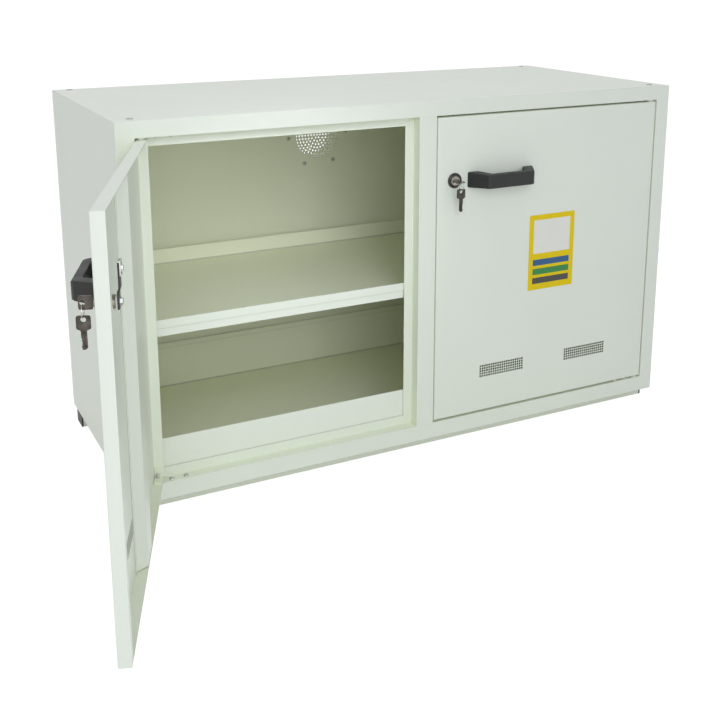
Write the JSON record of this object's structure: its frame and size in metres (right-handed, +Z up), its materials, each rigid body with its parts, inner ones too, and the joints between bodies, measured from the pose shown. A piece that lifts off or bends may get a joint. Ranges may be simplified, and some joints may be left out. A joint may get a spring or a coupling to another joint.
{
  "type": "flammable safety cabinet",
  "caption": "Low two-door steel safety cabinet with perforated doors, a spill tray shelf, a sump tray and a rear duct collar, on base rails.",
  "frame": {"origin": "middle of the front base rail's underside", "axes": "+X to the right along the width, +Y from the front to the back, +Z up"},
  "size_m": [1.2541, 0.9716, 0.6644],
  "materials": {
    "powder_coat": "fine satin powder coat",
    "handle_plastic": "fine matt grain",
    "plug_plastic": "matt",
    "cap_plastic": "satin",
    "zinc": "bright zinc plate",
    "nickel": "polished nickel plate",
    "black_steel": "black passivated",
    "black_ring": "gloss black"
  },
  "bodies": {
    "cabinet": {"outer_casing": "powder_coat", "front_frame": "powder_coat", "floor_panel": "powder_coat", "back_panel": "powder_coat", "exhaust_spigot": "powder_coat", "spigot_screws": "zinc", "shelf_tray": "powder_coat", "shelf_bracket_left": "powder_coat", "shelf_bracket_right": "powder_coat", "sump_tray": "powder_coat", "base_rail_front": "powder_coat", "base_rail_rear": "powder_coat", "rail_end_plugs": "plug_plastic", "top_hole_plugs": "cap_plastic", "hinge_plates": "zinc", "hinge_pins": "zinc", "hinge_plate_screws": "zinc", "centre_mullion": "powder_coat"},
    "left_door": {"left_door_panel": "powder_coat", "left_door_stiffener": "powder_coat", "left_door_hinge_brackets": "zinc", "left_handle": "handle_plastic", "left_handle_screws": "zinc", "left_lock_ring": "black_ring", "left_lock_body": "nickel", "left_lock_nut": "zinc"},
    "left_lock": {"left_lock_cylinder": "nickel", "left_cam_plate": "zinc", "left_cam_bar": "black_steel", "left_cam_hook": "zinc", "left_cam_screws": "zinc"},
    "left_key": {"left_key": "nickel", "left_key_ring": "nickel"},
    "left_spare_key": {"left_spare_key": "nickel"},
    "right_door": {"right_door_panel": "powder_coat", "right_door_stiffener": "powder_coat", "right_door_hinge_brackets": "zinc", "right_handle": "handle_plastic", "right_handle_screws": "zinc", "right_lock_ring": "black_ring", "right_lock_body": "nickel", "right_lock_nut": "zinc"},
    "right_lock": {"right_lock_cylinder": "nickel", "right_cam_plate": "zinc", "right_cam_bar": "black_steel", "right_cam_hook": "zinc", "right_cam_screws": "zinc"},
    "right_key": {"right_key": "nickel", "right_key_ring": "nickel"},
    "right_spare_key": {"right_spare_key": "nickel"}
  },
  "joints": [
    {"name": "left_door_hinge", "type": "hinge", "parent": "cabinet", "child": "left_door", "pos_m": [-0.5084, -0.0422, 0.344], "axis": [0, 0, 1], "range_deg": [0, 111]},
    {"name": "right_door_hinge", "type": "hinge", "parent": "cabinet", "child": "right_door", "pos_m": [0.5084, -0.0422, 0.344], "axis": [0, 0, 1], "range_deg": [0, 111]},
    {"name": "left_lock_turn", "type": "hinge", "parent": "left_door", "child": "left_lock", "pos_m": [-0.67799, -0.46222, 0.517], "axis": [0.9336, -0.3584, 0], "range_deg": [0, 90]},
    {"name": "right_lock_turn", "type": "hinge", "parent": "right_door", "child": "right_lock", "pos_m": [0.0555, -0.05, 0.517], "axis": [0, 1, 0], "range_deg": [-90, 0]},
    {"name": "left_key_slide", "type": "slide", "parent": "left_lock", "child": "left_key", "axis": [-0.9336, 0.3584, 0], "range_m": [0, 0.026]},
    {"name": "right_key_slide", "type": "slide", "parent": "right_lock", "child": "right_key", "axis": [0, -1, 0], "range_m": [0, 0.026]},
    {"name": "left_spare_swing", "type": "hinge", "parent": "left_key", "child": "left_spare_key", "pos_m": [-0.69582, -0.45538, 0.5068], "axis": [0.9336, -0.3584, 0], "range_deg": [-90, 0]},
    {"name": "right_spare_swing", "type": "hinge", "parent": "right_key", "child": "right_spare_key", "pos_m": [0.0555, -0.0731, 0.5031], "axis": [0, 1, 0], "range_deg": [0, 90]}
  ],
  "couplings": [
    {"joint": "left_spare_swing", "follows": "left_lock_turn", "ratio": -1},
    {"joint": "right_spare_swing", "follows": "right_lock_turn", "ratio": -1}
  ]
}
